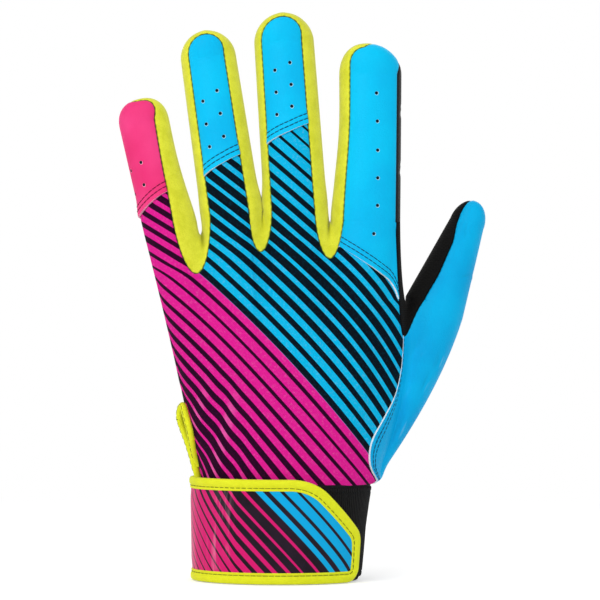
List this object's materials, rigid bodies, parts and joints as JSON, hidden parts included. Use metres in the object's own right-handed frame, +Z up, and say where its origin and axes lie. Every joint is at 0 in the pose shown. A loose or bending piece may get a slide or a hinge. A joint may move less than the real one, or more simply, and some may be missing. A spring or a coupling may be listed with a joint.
{
  "type": "batting glove",
  "caption": "Left-hand batting glove with leather finger backs, soft side strips, a striped stretch back and a hook-and-loop wrist strap.",
  "frame": {"origin": "centre of the wrist opening, on the plane of the cuff's open end, which the part stands on", "axes": "+Z up the fingers, -Y the back of the hand, +Y the palm, +X the thumb side"},
  "size_m": [0.1404, 0.0521, 0.2153],
  "materials": {
    "cyan_leather": "soft semi-gloss sheepskin, dyed cyan",
    "pink_leather": "soft semi-gloss sheepskin, dyed magenta-pink",
    "printed_fabric": "stretch knit printed with diagonal stripes",
    "yellow_fabric": "soft matte knit",
    "black_fabric": "matte stretch knit",
    "black_leather": "soft sheepskin, dyed black",
    "printed_strap": "coated strap face with printed diagonal stripes",
    "yellow_binding": "woven edge binding",
    "black_neoprene": "fabric-faced foam rubber",
    "black_patch": "hook and loop tape"
  },
  "bodies": {
    "hand": {"back_panel": "printed_fabric", "index_root_leather": "cyan_leather", "thumb_root_leather": "cyan_leather", "palm_panel": "black_leather", "heel_patch": "black_leather", "pinky_ring_web": "yellow_fabric", "ring_middle_web": "yellow_fabric", "middle_index_web": "yellow_fabric", "thumb_web": "black_fabric", "cuff": "black_neoprene", "loop_patch": "black_patch", "strap_anchor": "printed_strap", "vent_binding": "yellow_binding"},
    "strap": {"strap_face": "printed_strap", "strap_lining": "black_neoprene", "strap_binding": "yellow_binding", "hook_patch": "black_patch"},
    "pinky_finger": {"pinky_back_leather": "pink_leather", "pinky_back_fabric": "printed_fabric", "pinky_inner_fourchette": "yellow_fabric", "pinky_front": "black_leather"},
    "ring_finger": {"ring_back_leather": "cyan_leather", "ring_back_fabric": "printed_fabric", "ring_outer_fourchette": "yellow_fabric", "ring_inner_fourchette": "yellow_fabric", "ring_front": "black_leather"},
    "middle_finger": {"middle_back_leather": "cyan_leather", "middle_back_fabric": "printed_fabric", "middle_outer_fourchette": "yellow_fabric", "middle_inner_fourchette": "yellow_fabric", "middle_front": "black_leather"},
    "index_finger": {"index_back_leather": "cyan_leather", "index_outer_fourchette": "yellow_fabric", "index_front": "black_leather"},
    "thumb": {"thumb_back_leather": "cyan_leather", "thumb_inner_gusset": "black_fabric", "thumb_front": "black_leather"}
  },
  "joints": [
    {"name": "strap_flap_hinge", "type": "hinge", "parent": "hand", "child": "strap", "pos_m": [-0.0322, 0.0088, 0.0198], "axis": [0, 0, -1], "range_deg": [0, 150]},
    {"name": "pinky_flex", "type": "hinge", "parent": "hand", "child": "pinky_finger", "pos_m": [-0.04177, 0.0088, 0.1334], "axis": [-0.9707, 0, -0.2402], "range_deg": [0, 75]},
    {"name": "ring_flex", "type": "hinge", "parent": "hand", "child": "ring_finger", "pos_m": [-0.01844, 0.0096, 0.1383], "axis": [-0.989, 0, -0.1478], "range_deg": [0, 75]},
    {"name": "middle_flex", "type": "hinge", "parent": "hand", "child": "middle_finger", "pos_m": [0.0059, 0.0099, 0.1402], "axis": [-0.9976, 0, -0.0698], "range_deg": [0, 75]},
    {"name": "index_flex", "type": "hinge", "parent": "hand", "child": "index_finger", "pos_m": [0.03246, 0.0102, 0.136], "axis": [-0.9996, 0, 0.0297], "range_deg": [0, 75]},
    {"name": "thumb_flex", "type": "hinge", "parent": "hand", "child": "thumb", "pos_m": [0.05831, 0.01969, 0.1018], "axis": [-0.9285, 0, 0.3714], "range_deg": [0, 50]}
  ]
}
